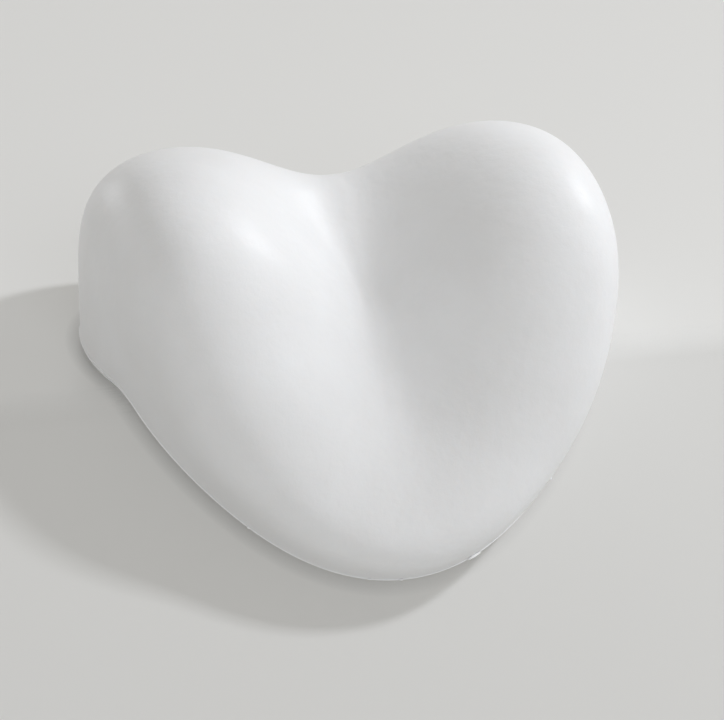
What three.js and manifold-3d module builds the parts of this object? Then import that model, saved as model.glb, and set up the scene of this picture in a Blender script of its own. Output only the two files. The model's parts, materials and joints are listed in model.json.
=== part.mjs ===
// Heart-shaped bath pillow, draped over the front edge of a bath's flat rim.
// Millimetres. +X is to the bather's side, +Y runs away from the bath, +Z is up.
// The origin lies in the rim's plane, in the middle of the line where the underside starts to bend.
import * as THREE from 'three';
import { mergeVertices } from 'three/addons/utils/BufferGeometryUtils.js';
import Module from 'manifold-3d';

const wasm = await Module();
wasm.setup();

// Heart outline, laid out flat along the bent underside and swept round its own centre
const heartRadius = 121;
const outlineWaveShares = [0.08, -0.049, 0.091, -0.016, 0.011];
const cleftDepthShare = 0.1;
const cleftHalfAngle = 0.42;
const heartCentreBehindBend = 16.3;

// Bend of the underside, from the flat rim down to the bath's inner wall
const bendAngle = THREE.MathUtils.degToRad(46.5);
const partingBendRadius = 28;

// The face leans forward gradually, from behind the bend to well past it
const leanStartBehindBend = 63;
const leanEndPastBend = 74;

// Height of the two rounded ridges and of the neck channel between them, from rear to tip
const ridgeHeight = 105;
const ridgeHeightShares = [0.756, 0.969, 1, 0.845, 0.411];
const channelHeightShares = [0.132, 0.89, 0.41, 0.304, 0.364];
const stationPitch = 45;
const middleStationBehindBend = 5;
const stationSpreadShare = 0.8;
const channelHalfWidth = 63.6;
const channelSteepness = 1.6;

// Section of the rounded form, from its steep flank to its crown
const planExponent = 0.382;
const riseExponent = 0.554;
const flankBulgeShare = 0.035;

// Moulded skin and the parting line where its two halves knit together
const skinWall = 2;
const partingHeight = 3.5;
const seatStandOff = 0.5;
const undersideEdgeRadius = 2.2;
const flashReach = 0.8;
const flashThickness = 0.5;
const seatedGap = 0.3;
const skinToCoreGap = 0.4;

// Suction cup: a bell with a flat lip, a neck and a mushroom head
const cupLipRadius = 20;
const cupLipLand = 2.4;
const cupLipThickness = 0.9;
const cupBellHeight = 8;
const cupHollowHeight = 3.6;
const cupShoulderRadius = 5.5;
const cupNeckRadius = 4;
const cupHeadRadius = 6.4;
const cupHeadHeight = 4.2;
const cupHeadRimHeight = 1.2;
const cupNeckFillet = 0.6;

// Pocket in the underside that a cup's bell lies in
const pocketSideGap = 2.5;
const pocketHeadroom = 0.4;
const pocketSkinWall = 1.6;

// Plastic socket moulded into the foam above each pocket
const socketFloor = 2.4;
const socketWall = 2;
const socketRoof = 1.8;
const socketFlangeReach = 5;
const socketFlangeThickness = 1.6;
const neckRunningGap = 0.3;
const headEndPlay = 0.3;

// Where the cups sit: how far round the heart from its tip, and how far in from its outline
const rimCupTurn = THREE.MathUtils.degToRad(124);
const rimCupInset = 55;
const wallCupTurn = THREE.MathUtils.degToRad(26);
const wallCupInset = 45.5;

// Fineness of the surfaces
const planSteps = 48;
const sectionSteps = 10;
const bendSteps = 4;
const edgeSteps = 3;
const cupTurnSteps = 32;
const cupCurveSteps = 4;
const hollowTurnSteps = 24;
const sectionSamples = 400;
const angleHalvings = 40;

const bendLength = partingBendRadius * bendAngle;
const faceEdgeHeight = partingHeight + seatedGap / 2;
const backSkinTop = partingHeight - seatedGap / 2;
const cutReach = 2 * heartRadius;
const cutOverrun = partingHeight + partingBendRadius / 3;

// Heights along a cup's own axis, counted from its lip
const pocketRoof = cupBellHeight + cupNeckFillet + pocketHeadroom;
const pocketSkinTop = pocketRoof + pocketSkinWall;
const socketBottom = pocketSkinTop + seatedGap;
const chamberFloor = socketBottom + socketFloor;
const cupHeadBottom = chamberFloor + headEndPlay;
const cupHeadTop = cupHeadBottom + cupHeadHeight;
const chamberRoof = cupHeadTop + headEndPlay;
const socketTop = chamberRoof + socketRoof;
const chamberRadius = cupHeadRadius + neckRunningGap;
const socketRadius = chamberRadius + socketWall;
const socketFlangeRadius = socketRadius + socketFlangeReach;
const neckHoleRadius = cupNeckRadius + neckRunningGap;
const pocketRadius = cupLipRadius + pocketSideGap;
const pocketSkinRadius = pocketRadius + pocketSkinWall;

// Angle that the underside has turned through at a place along it
function seatLean(along) {
  return THREE.MathUtils.clamp(along / partingBendRadius, 0, bendAngle);
}

// Direction that points away from the bath's surface, for a given lean
function leanNormal(lean) {
  return new THREE.Vector3(0, -Math.sin(lean), Math.cos(lean));
}

// Point at a height above the bath's surface, which the cups' lips touch
function seatPoint(x, along, height) {
  const lean = seatLean(along);
  const past = Math.max(along - bendLength, 0);
  const behind = Math.min(along, 0);
  const y = -behind - partingBendRadius * Math.sin(lean) - past * Math.cos(bendAngle);
  const drop = partingBendRadius * (1 - Math.cos(lean)) + past * Math.sin(bendAngle);
  const point = new THREE.Vector3(x, y, partingHeight - drop);
  return point.addScaledVector(leanNormal(lean), height - partingHeight);
}

// Distance from the heart's centre to its outline; angle 0 points at the tip
function outlineRadius(angle) {
  const waves = outlineWaveShares.reduce((sum, share, i) => sum + share * Math.cos((i + 1) * angle), 1);
  const fromCleft = Math.PI - Math.abs(Math.atan2(Math.sin(angle), Math.cos(angle)));
  const notch = cleftDepthShare * Math.exp(-((fromCleft / cleftHalfAngle) ** 2));
  return heartRadius * (waves - notch);
}

// Flat plan point on a scaled outline, as distance to the side and distance along
function planPoint(angle, scale) {
  const radius = scale * outlineRadius(angle);
  return new THREE.Vector2(radius * Math.sin(angle), radius * Math.cos(angle) - heartCentreBehindBend);
}

// Place of a cup's axis, given how far round the heart it stands and how far in from the outline
function cupPlace(name, turn, inset) {
  const plan = planPoint(turn, 1 - inset / outlineRadius(turn));
  return { name, x: plan.x, along: plan.y };
}

const cupPlaces = [
  cupPlace('left_rim', -rimCupTurn, rimCupInset),
  cupPlace('right_rim', rimCupTurn, rimCupInset),
  cupPlace('left_wall', -wallCupTurn, wallCupInset),
  cupPlace('right_wall', wallCupTurn, wallCupInset),
];

// Point on the outline, moved square to it by a reach, at a height above the bath
function edgePoint(angle, reach, height) {
  const step = Math.PI / planSteps / 2;
  const tangent = planPoint(angle + step, 1).sub(planPoint(angle - step, 1)).normalize();
  const plan = planPoint(angle, 1);
  return seatPoint(plan.x - reach * tangent.y, plan.y + reach * tangent.x, height);
}

// Height that passes smoothly along the stations, from a table of shares
function stationHeight(along, shares) {
  const middle = (shares.length - 1) / 2;
  let total = 0;
  let weights = 0;
  shares.forEach((share, i) => {
    const station = (i - middle) * stationPitch - middleStationBehindBend;
    const weight = Math.exp(-(((along - station) / (stationSpreadShare * stationPitch)) ** 2));
    total += weight * share;
    weights += weight;
  });
  return ridgeHeight * total / weights;
}

// Full height of the face over a plan point: ridges at the sides, the neck channel between them
function crownHeight(x, along) {
  const ridge = stationHeight(along, ridgeHeightShares);
  const channel = stationHeight(along, channelHeightShares);
  const climb = 1 - Math.exp(-channelSteepness * (x / channelHalfWidth) ** 2);
  return channel + (ridge - channel) * climb;
}

// Lean of the face, which turns much more gradually than the underside
function faceLean(along) {
  return bendAngle * THREE.MathUtils.smoothstep(along, -leanStartBehindBend, leanEndPastBend);
}

// Point on the face; the section angle runs from 0 at the parting line to a quarter turn at the crown
function facePoint(section, angle) {
  const scale = Math.max(Math.cos(section), 0) ** planExponent + flankBulgeShare * Math.sin(2 * section);
  const rise = Math.sin(section) ** riseExponent;
  const plan = planPoint(angle, scale);
  const point = seatPoint(plan.x, plan.y, faceEdgeHeight);
  return point.addScaledVector(leanNormal(faceLean(plan.y)), rise * crownHeight(plan.x, plan.y));
}

// Section angles that cut the rounded section into steps of equal length
function sectionAngles(count) {
  const lengths = [0];
  const quarter = Math.PI / 2;
  const at = (i) => {
    const angle = quarter * i / sectionSamples;
    const across = heartRadius * Math.max(Math.cos(angle), 0) ** planExponent;
    return new THREE.Vector2(across, ridgeHeight * Math.sin(angle) ** riseExponent);
  };
  for (let i = 1; i <= sectionSamples; i += 1) {
    lengths.push(lengths[i - 1] + at(i).distanceTo(at(i - 1)));
  }
  const angles = [];
  for (let k = 0; k < count; k += 1) {
    const wanted = lengths[sectionSamples] * k / count;
    const i = Math.max(lengths.findIndex((length) => length > wanted), 1);
    const part = (wanted - lengths[i - 1]) / (lengths[i] - lengths[i - 1]);
    angles.push(quarter * (i - 1 + part) / sectionSamples);
  }
  return angles;
}

// Places along the underside where its bend is cut into flat steps
const bendStops = Array.from({ length: bendSteps + 1 }, (_, i) => bendLength * i / bendSteps);

// Angle on the +X side at which the outline passes a place along the underside
function angleAtStop(along) {
  let low = 0;
  let high = Math.PI / 2;
  for (let i = 0; i < angleHalvings; i += 1) {
    const middle = (low + high) / 2;
    if (planPoint(middle, 1).y > along) {
      low = middle;
    } else {
      high = middle;
    }
  }
  return (low + high) / 2;
}

// Angles round the heart: even steps, with the steps beside the bend taken from its stops
function heartAngles() {
  const step = 2 * Math.PI / planSteps;
  const stops = bendStops.map(angleAtStop);
  const nearBend = (angle) => angle > Math.min(...stops) - step / 2 && angle < Math.max(...stops) + step / 2;
  const even = Array.from({ length: planSteps }, (_, j) => step * j);
  const clear = even.filter((angle) => !nearBend(angle) && !nearBend(2 * Math.PI - angle));
  const mirrored = stops.map((angle) => 2 * Math.PI - angle);
  return [...clear, ...stops, ...mirrored].sort((a, b) => a - b);
}

const ringAngles = heartAngles();

// One closed loop of points round the heart
function ringOf(pointAt) {
  return ringAngles.map(pointAt);
}

const faceRings = sectionAngles(sectionSteps).map((section) => ringOf((angle) => facePoint(section, angle)));
const facePole = facePoint(Math.PI / 2, 0);

// The face's rings and pole moved inwards, square to the surface, by an inset
function insetFace(inset) {
  const rings = faceRings.map((ring, k) => ring.map((point, j) => {
    if (k === 0) {
      return edgePoint(ringAngles[j], -inset, faceEdgeHeight);
    }
    const inner = k + 1 < faceRings.length ? faceRings[k + 1][j] : facePole;
    const ahead = ring[(j + 1) % ring.length];
    const back = ring.at(j - 1);
    const outward = faceRings[k - 1][j].clone().sub(inner);
    const normal = outward.cross(ahead.clone().sub(back)).normalize();
    return point.clone().addScaledVector(normal, -inset);
  }));
  const pole = facePole.clone().addScaledVector(leanNormal(faceLean(-heartCentreBehindBend)), -inset);
  return { rings, pole };
}

// Closed body through a row of rings, from a first pole to a last one.
// From the climbing ring on, the rings run back up inside, and their diagonals match the outside.
function ringBody(firstPole, rings, lastPole, climbFrom = rings.length) {
  const points = [firstPole, ...rings.flat(), lastPole];
  const last = points.length - 1;
  const count = ringAngles.length;
  const at = (k, j) => 1 + k * count + (j % count);
  const index = [];
  for (let j = 0; j < count; j += 1) {
    index.push(0, at(0, j), at(0, j + 1));
    index.push(last, at(rings.length - 1, j + 1), at(rings.length - 1, j));
    for (let k = 0; k + 1 < rings.length; k += 1) {
      if ((ringAngles[j] < Math.PI) !== (k >= climbFrom)) {
        index.push(at(k, j), at(k + 1, j), at(k + 1, j + 1));
        index.push(at(k, j), at(k + 1, j + 1), at(k, j + 1));
      } else {
        index.push(at(k, j), at(k + 1, j), at(k, j + 1));
        index.push(at(k, j + 1), at(k + 1, j), at(k + 1, j + 1));
      }
    }
  }
  const geometry = new THREE.BufferGeometry().setFromPoints(points);
  geometry.setIndex(index);
  return geometry;
}

// Slab that follows the bent underside between two heights above the bath
function bentSlab(low, high) {
  const stops = [-cutReach, ...bendStops, cutReach];
  const side = (height) => stops.map((along) => {
    const point = seatPoint(0, along, height);
    return new THREE.Vector2(point.y, point.z);
  });
  const shape = new THREE.Shape([...side(low), ...side(high).reverse()]);
  const slab = new THREE.ExtrudeGeometry(shape, { depth: 2 * cutReach, bevelEnabled: false });
  slab.translate(0, 0, -cutReach);
  const across = new THREE.Vector3(1, 0, 0);
  const away = new THREE.Vector3(0, 1, 0);
  const up = new THREE.Vector3(0, 0, 1);
  slab.applyMatrix4(new THREE.Matrix4().makeBasis(away, up, across));
  return slab;
}

// Closed mesh as a solid that can be joined and cut
function toSolid(geometry) {
  const bare = geometry.clone();
  bare.deleteAttribute('normal');
  bare.deleteAttribute('uv');
  const merged = mergeVertices(bare);
  const vertProperties = new Float32Array(merged.attributes.position.array);
  const triVerts = new Uint32Array(merged.index.array);
  return new wasm.Manifold(new wasm.Mesh({ numProp: 3, vertProperties, triVerts }));
}

// Solid back to a mesh
function toGeometry(solid) {
  const mesh = solid.getMesh();
  const geometry = new THREE.BufferGeometry();
  geometry.setAttribute('position', new THREE.BufferAttribute(mesh.vertProperties, 3));
  geometry.setIndex(new THREE.BufferAttribute(mesh.triVerts, 1));
  return geometry;
}

// Turned body from a profile of radius and height pairs
function turned(profile, steps) {
  const points = profile.map(([radius, height]) => new THREE.Vector2(radius, height));
  const body = new THREE.LatheGeometry(points, steps);
  return body.rotateX(Math.PI / 2);
}

// Plain disc or plug about a cup's axis
function plug(radius, low, high) {
  return turned([[0, low], [radius, low], [radius, high], [0, high]], hollowTurnSteps);
}

// Turning and place of a cup's own axis, with its lip on the bath's surface
function cupMatrix(place) {
  const seat = seatPoint(place.x, place.along, 0);
  const turn = new THREE.Matrix4().makeRotationX(seatLean(place.along));
  return turn.setPosition(seat);
}

// The same shape at each of the four cups
function atCups(geometry) {
  return cupPlaces.map((place) => toSolid(geometry.clone().applyMatrix4(cupMatrix(place))));
}

// What is left of a solid above the parting line
function aboveParting(solid) {
  return solid.subtract(toSolid(bentSlab(-3 * cutOverrun, faceEdgeHeight)));
}

function faceSkinGeometry() {
  const inner = insetFace(skinWall);
  const outerSkirt = ringOf((angle) => edgePoint(angle, 0, -cutOverrun));
  const innerSkirt = ringOf((angle) => edgePoint(angle, -skinWall, -cutOverrun));
  const rings = [...faceRings.toReversed(), outerSkirt, innerSkirt, ...inner.rings];
  const shell = ringBody(facePole, rings, inner.pole, faceRings.length + 1);
  return toGeometry(aboveParting(toSolid(shell)));
}

// Rounded lower edge of the back skin, from the flash lip down and in to the underside
function backEdgeRings() {
  const flashBottom = backSkinTop - flashThickness;
  const rings = [[flashReach, faceEdgeHeight], [flashReach, flashBottom], [0, flashBottom]];
  for (let i = 0; i <= edgeSteps; i += 1) {
    const turn = Math.PI / 2 * i / edgeSteps;
    const reach = -undersideEdgeRadius * (1 - Math.cos(turn));
    rings.push([reach, seatStandOff + undersideEdgeRadius * (1 - Math.sin(turn))]);
  }
  rings.push([-undersideEdgeRadius, -cutOverrun]);
  return rings.map(([reach, height]) => ringOf((angle) => edgePoint(angle, reach, height)));
}

function backSkinGeometry() {
  const below = seatPoint(0, -heartCentreBehindBend, -2 * cutOverrun);
  const blank = ringBody(facePole, [...faceRings.toReversed(), ...backEdgeRings()], below);
  let skin = toSolid(blank).intersect(toSolid(bentSlab(seatStandOff, backSkinTop)));
  atCups(plug(pocketSkinRadius, partingHeight / 2, pocketSkinTop)).forEach((tub) => {
    skin = skin.add(tub);
  });
  atCups(plug(pocketRadius, -cutOverrun, pocketRoof)).forEach((hollow) => {
    skin = skin.subtract(hollow);
  });
  atCups(plug(neckHoleRadius, 0, socketTop)).forEach((hole) => {
    skin = skin.subtract(hole);
  });
  return toGeometry(skin);
}

function foamCoreGeometry() {
  const inset = skinWall + skinToCoreGap;
  const inner = insetFace(inset);
  const skirt = ringOf((angle) => edgePoint(angle, -inset, -cutOverrun));
  const below = seatPoint(0, -heartCentreBehindBend, -2 * cutOverrun);
  const blank = ringBody(inner.pole, [...inner.rings.toReversed(), skirt], below);
  let core = aboveParting(toSolid(blank));
  const tubTop = pocketSkinTop + seatedGap;
  const flangeTop = socketBottom + socketFlangeThickness + seatedGap;
  const room = [
    plug(pocketSkinRadius + seatedGap, 0, tubTop),
    plug(socketFlangeRadius + seatedGap, 0, flangeTop),
    plug(socketRadius + seatedGap, 0, socketTop + seatedGap),
  ];
  room.flatMap(atCups).forEach((hollow) => {
    core = core.subtract(hollow);
  });
  return toGeometry(core);
}

function socketGeometry() {
  const flangeTop = socketBottom + socketFlangeThickness;
  return turned([
    [0, chamberRoof],
    [chamberRadius, chamberRoof],
    [chamberRadius, chamberFloor],
    [neckHoleRadius, chamberFloor],
    [neckHoleRadius, socketBottom],
    [socketFlangeRadius, socketBottom],
    [socketFlangeRadius, flangeTop],
    [socketRadius, flangeTop],
    [socketRadius, socketTop],
    [0, socketTop],
  ], hollowTurnSteps);
}

function suctionCupGeometry() {
  const landInside = cupLipRadius - cupLipLand;
  const hollow = new THREE.QuadraticBezierCurve(
    new THREE.Vector2(0, cupHollowHeight),
    new THREE.Vector2(landInside / 2, cupHollowHeight),
    new THREE.Vector2(landInside, 0),
  );
  const bell = new THREE.QuadraticBezierCurve(
    new THREE.Vector2(cupLipRadius, cupLipThickness),
    new THREE.Vector2(cupLipRadius / 2 + cupShoulderRadius / 2, cupBellHeight - cupLipThickness),
    new THREE.Vector2(cupShoulderRadius, cupBellHeight),
  );
  const head = new THREE.EllipseCurve(
    0,
    cupHeadBottom + cupHeadRimHeight,
    cupHeadRadius,
    cupHeadHeight - cupHeadRimHeight,
    0,
    Math.PI / 2,
  );
  const pairs = (curve, steps) => curve.getPoints(steps).map((point) => [point.x, point.y]);
  const profile = [
    ...pairs(hollow, cupCurveSteps),
    [cupLipRadius, 0],
    ...pairs(bell, cupCurveSteps),
    [cupNeckRadius, cupBellHeight + cupNeckFillet],
    [cupNeckRadius, cupHeadBottom],
    [cupHeadRadius, cupHeadBottom],
    ...pairs(head, cupCurveSteps).slice(0, -1),
    [0, cupHeadTop],
  ];
  return turned(profile, cupTurnSteps);
}

function skinMaterial() {
  return new THREE.MeshStandardMaterial({ color: 0xe9eaec, roughness: 0.42, metalness: 0 });
}

function foamMaterial() {
  return new THREE.MeshStandardMaterial({ color: 0xf1efe8, roughness: 0.95, metalness: 0 });
}

function socketMaterial() {
  return new THREE.MeshStandardMaterial({ color: 0xdfe1e2, roughness: 0.5, metalness: 0 });
}

function cupMaterial() {
  return new THREE.MeshStandardMaterial({
    color: 0xe6edef,
    roughness: 0.12,
    metalness: 0,
    transparent: true,
    opacity: 0.45,
  });
}

function namedMesh(name, geometry, material) {
  const mesh = new THREE.Mesh(geometry, material);
  mesh.name = name;
  return mesh;
}

const pillow = new THREE.Group();
pillow.add(namedMesh('face_skin', faceSkinGeometry(), skinMaterial()));
pillow.add(namedMesh('back_skin', backSkinGeometry(), skinMaterial()));
pillow.add(namedMesh('foam_core', foamCoreGeometry(), foamMaterial()));

cupPlaces.forEach((place) => {
  const fitting = new THREE.Group();
  fitting.position.copy(seatPoint(place.x, place.along, 0));
  fitting.rotation.x = seatLean(place.along);
  fitting.add(namedMesh(`${place.name}_socket`, socketGeometry(), socketMaterial()));
  fitting.add(namedMesh(`${place.name}_suction_cup`, suctionCupGeometry(), cupMaterial()));
  pillow.add(fitting);
});

export default pillow;
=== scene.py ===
"""Looks of a heart-shaped bath pillow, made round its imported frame.

Lengths are in metres. +X runs along the bath's edge to the side, +Y runs away from the bath over its rim, and
+Z is up. The origin lies in the rim's plane, in the middle of the line where the pillow's underside starts to
bend down into the bath.
"""

from __future__ import annotations

import json
import logging
import math
from dataclasses import dataclass, field
from enum import Enum
from typing import Any, Sequence

import bpy
import numpy as np
from mathutils import Euler, Matrix, Vector

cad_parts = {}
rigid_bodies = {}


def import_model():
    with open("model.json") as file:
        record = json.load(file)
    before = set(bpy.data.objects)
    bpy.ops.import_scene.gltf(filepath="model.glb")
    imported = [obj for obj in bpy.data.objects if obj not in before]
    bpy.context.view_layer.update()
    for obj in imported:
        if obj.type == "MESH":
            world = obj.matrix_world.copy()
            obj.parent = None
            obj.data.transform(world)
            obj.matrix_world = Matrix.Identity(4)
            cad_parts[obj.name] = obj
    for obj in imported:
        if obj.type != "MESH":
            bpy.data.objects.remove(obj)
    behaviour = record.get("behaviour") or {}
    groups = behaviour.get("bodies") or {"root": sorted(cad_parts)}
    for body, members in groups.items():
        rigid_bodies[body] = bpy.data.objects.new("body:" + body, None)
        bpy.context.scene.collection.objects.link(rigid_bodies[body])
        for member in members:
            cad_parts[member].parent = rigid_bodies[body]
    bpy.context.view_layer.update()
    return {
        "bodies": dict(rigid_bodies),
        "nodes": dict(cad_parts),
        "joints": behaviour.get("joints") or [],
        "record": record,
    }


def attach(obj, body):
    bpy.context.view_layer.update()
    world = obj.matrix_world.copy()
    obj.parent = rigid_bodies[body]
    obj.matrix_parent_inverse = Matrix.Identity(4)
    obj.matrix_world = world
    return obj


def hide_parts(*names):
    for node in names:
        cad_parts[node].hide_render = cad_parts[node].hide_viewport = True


LOG = logging.getLogger("bath_pillow")
PHOTO_WIDTH_PX = 724

Colour = tuple[float, float, float]
Corner = tuple[float, float, float]
Profile = list[tuple[float, float]]


class Body(Enum):
    """Bodies of the frame that a piece can ride on."""

    PILLOW = "pillow"
    LEFT_RIM_CUP = "left_rim_cup"
    RIGHT_RIM_CUP = "right_rim_cup"
    LEFT_WALL_CUP = "left_wall_cup"
    RIGHT_WALL_CUP = "right_wall_cup"


class Slot(Enum):
    """Material slots of the record."""

    SKIN = "skin"
    FOAM = "foam"
    SOCKET_PLASTIC = "socket_plastic"
    CLEAR_VINYL = "clear_vinyl"


class Cut(Enum):
    """Ways to join a tool body to a piece."""

    ADD = "UNION"
    TAKE_AWAY = "DIFFERENCE"


class Lit(Enum):
    """Things that a lamp lights."""

    PILLOW = "pillow_pieces"
    UNDERSIDE = "underside_pieces"
    STAGE = "stage"


# Meshes


def full_turn(steps: int) -> np.ndarray:
    """Return the angles that cut a full turn into equal steps."""
    return np.arange(steps) * 2 * math.pi / steps


def quarter_turn(steps: int) -> list[float]:
    """Return the angles that cut a quarter turn into equal steps, both ends included."""
    return [math.pi / 2 * i / steps for i in range(steps + 1)]


def linked(name: str, data: bpy.types.ID) -> bpy.types.Object:
    """Make an object and link it to the scene.

    Args:
        name: Name of the object.
        data: Its mesh, light or camera.

    Returns:
        The object, at the origin.
    """
    made = bpy.data.objects.new(name, data)
    bpy.context.scene.collection.objects.link(made)
    return made


def keep_vectors(mesh: bpy.types.Mesh, name: str, rows: np.ndarray | Sequence[Sequence[float]]) -> None:
    """Keep a vector for each point of a mesh, under a name that geometry nodes can read."""
    attribute = mesh.attributes.new(name, "FLOAT_VECTOR", "POINT")
    attribute.data.foreach_set("vector", np.array(rows, np.float32).ravel())


def mesh_object(name: str, points: np.ndarray, faces: Sequence[Sequence[int]]) -> bpy.types.Object:
    """Make a closed mesh object whose faces point outwards.

    Args:
        name: Name of the object and of its mesh.
        points: Vertices, one row each.
        faces: Vertex indices of each face, turned alike all over.

    Returns:
        The object, linked to the scene at the origin.
    """
    mesh = bpy.data.meshes.new(name)
    mesh.from_pydata(points.tolist(), [], faces)
    if signed_volume(mesh) < 0:
        mesh.flip_normals()
    mesh.update()
    return linked(name, mesh)


def signed_volume(mesh: bpy.types.Mesh) -> float:
    """Measure the volume inside a closed mesh.

    Args:
        mesh: Mesh without holes.

    Returns:
        The volume, negative where the faces point inwards.
    """
    mesh.calc_loop_triangles()
    corners = np.zeros(len(mesh.loop_triangles) * 3, np.int32)
    mesh.loop_triangles.foreach_get("vertices", corners)
    places = np.zeros(len(mesh.vertices) * 3, np.float32)
    mesh.vertices.foreach_get("co", places)
    first, second, third = places.reshape(-1, 3)[corners.reshape(-1, 3)].transpose(1, 0, 2)
    return float(np.einsum("ij,ij->", first, np.cross(second, third)) / 6)


def closed_rings(
    name: str,
    first_pole: np.ndarray,
    rings: np.ndarray,
    last_pole: np.ndarray,
) -> bpy.types.Object:
    """Make a closed body through a row of rings, from a first pole to a last one.

    Args:
        name: Name of the object.
        first_pole: Point that closes the first ring.
        rings: Points by ring and by turn round it.
        last_pole: Point that closes the last ring.

    Returns:
        The closed body.
    """
    count, turns = rings.shape[:2]
    points = np.vstack([first_pole.reshape(1, 3), rings.reshape(-1, 3), last_pole.reshape(1, 3)])
    turn = np.arange(turns)
    ahead = (turn + 1) % turns
    last_ring = 1 + (count - 1) * turns
    faces: list[list[int]] = [[0, 1 + j, 1 + k] for j, k in zip(turn.tolist(), ahead.tolist())]
    start = (1 + np.arange(count - 1) * turns)[:, None]
    quads = np.stack([start + turn, start + turns + turn, start + turns + ahead, start + ahead], axis=-1)
    faces += quads.reshape(-1, 4).tolist()
    end = len(points) - 1
    faces += [[end, last_ring + k, last_ring + j] for j, k in zip(turn.tolist(), ahead.tolist())]
    return mesh_object(name, points, faces)


def turned(name: str, profile: Profile, steps: int, place: Matrix) -> bpy.types.Object:
    """Make a body of revolution about its own Z axis.

    Args:
        name: Name of the object.
        profile: Radius and height pairs that start and end on the axis.
        steps: Number of steps round the axis.
        place: Place of the body's own axes in the frame.

    Returns:
        The closed body, with its place in its mesh.
    """
    angles = full_turn(steps)
    radii = np.array([radius for radius, _ in profile[1:-1]])[:, None]
    heights = np.array([height for _, height in profile[1:-1]])[:, None]
    rings = np.stack(
        [radii * np.cos(angles), radii * np.sin(angles), np.broadcast_to(heights, (len(radii), steps))],
        axis=-1,
    )
    first = np.array([0, 0, profile[0][1]])
    last = np.array([0, 0, profile[-1][1]])
    body = closed_rings(name, first, rings, last)
    body.data.transform(place)
    return body


def rounded_profile(corners: Sequence[Corner], steps: int) -> Profile:
    """Round each corner of a profile by its own fillet radius.

    Args:
        corners: Radius, height and fillet radius of each corner; the two ends stay sharp.
        steps: Number of steps in each fillet.

    Returns:
        The profile as radius and height pairs.
    """
    profile: Profile = [corners[0][:2]]
    for before, (radius, height, fillet), after in zip(corners, corners[1:], corners[2:]):
        if fillet <= 0:
            profile.append((radius, height))
            continue
        corner = Vector((radius, height))
        to_before = (Vector(before[:2]) - corner).normalized()
        to_after = (Vector(after[:2]) - corner).normalized()
        half = to_before.angle(to_after) / 2
        centre = corner + (to_before + to_after).normalized() * fillet / math.sin(half)
        start = corner + to_before * fillet / math.tan(half) - centre
        end = corner + to_after * fillet / math.tan(half) - centre
        profile += [tuple(centre + part_turned(start, end, i / steps)) for i in range(steps + 1)]
    profile.append(corners[-1][:2])
    return profile


def part_turned(start: Vector, end: Vector, share: float) -> Vector:
    """Turn a plane vector by a share of the angle from it to another one.

    Args:
        start: Vector to turn.
        end: Vector whose direction a share of 1 reaches.
        share: Share of the angle.

    Returns:
        The turned vector, as long as it was.
    """
    angle = -start.angle_signed(end, 0) * share
    cosine, sine = math.cos(angle), math.sin(angle)
    return Vector((start.x * cosine - start.y * sine, start.x * sine + start.y * cosine))


def bezier(start: Vector, handle: Vector, end: Vector, steps: int) -> Profile:
    """Make a quadratic curve in a profile.

    Args:
        start: First point.
        handle: Point that pulls the curve towards it.
        end: Last point.
        steps: Number of steps along the curve.

    Returns:
        The curve as radius and height pairs.
    """
    shares = [i / steps for i in range(steps + 1)]
    points = [start.lerp(handle, s).lerp(handle.lerp(end, s), s) for s in shares]
    return [(point.x, point.y) for point in points]


def as_plain_mesh(piece: bpy.types.Object) -> bpy.types.Object:
    """Turn a piece with live modifiers into the plain mesh that they give.

    Args:
        piece: Piece to change.

    Returns:
        The same piece, without modifiers.
    """
    graph = bpy.context.evaluated_depsgraph_get()
    mesh = bpy.data.meshes.new_from_object(piece.evaluated_get(graph))
    piece.modifiers.clear()
    old, piece.data = piece.data, mesh
    bpy.data.meshes.remove(old)
    mesh.name = piece.name
    return piece


def work_piece(piece: bpy.types.Object, tools: Sequence[tuple[Cut, bpy.types.Object]]) -> bpy.types.Object:
    """Join tool bodies to a piece, or take them away, in order.

    Args:
        piece: Closed body to work on.
        tools: Closed bodies, each with what it does. They are used up.

    Returns:
        The worked piece, as a plain mesh.
    """
    for cut, tool in tools:
        step = piece.modifiers.new(tool.name, "BOOLEAN")
        step.solver = "MANIFOLD"
        step.operation = cut.value
        step.object = tool
    as_plain_mesh(piece)
    for _, tool in tools:
        bpy.data.objects.remove(tool)
    return piece


def smooth(piece: bpy.types.Object, sharp_above: float) -> None:
    """Shade a piece smoothly, apart from edges that turn by more than an angle in radians."""
    piece.data.shade_smooth()
    piece.data.set_sharp_from_angle(angle=sharp_above)


# Form of the pillow


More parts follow.
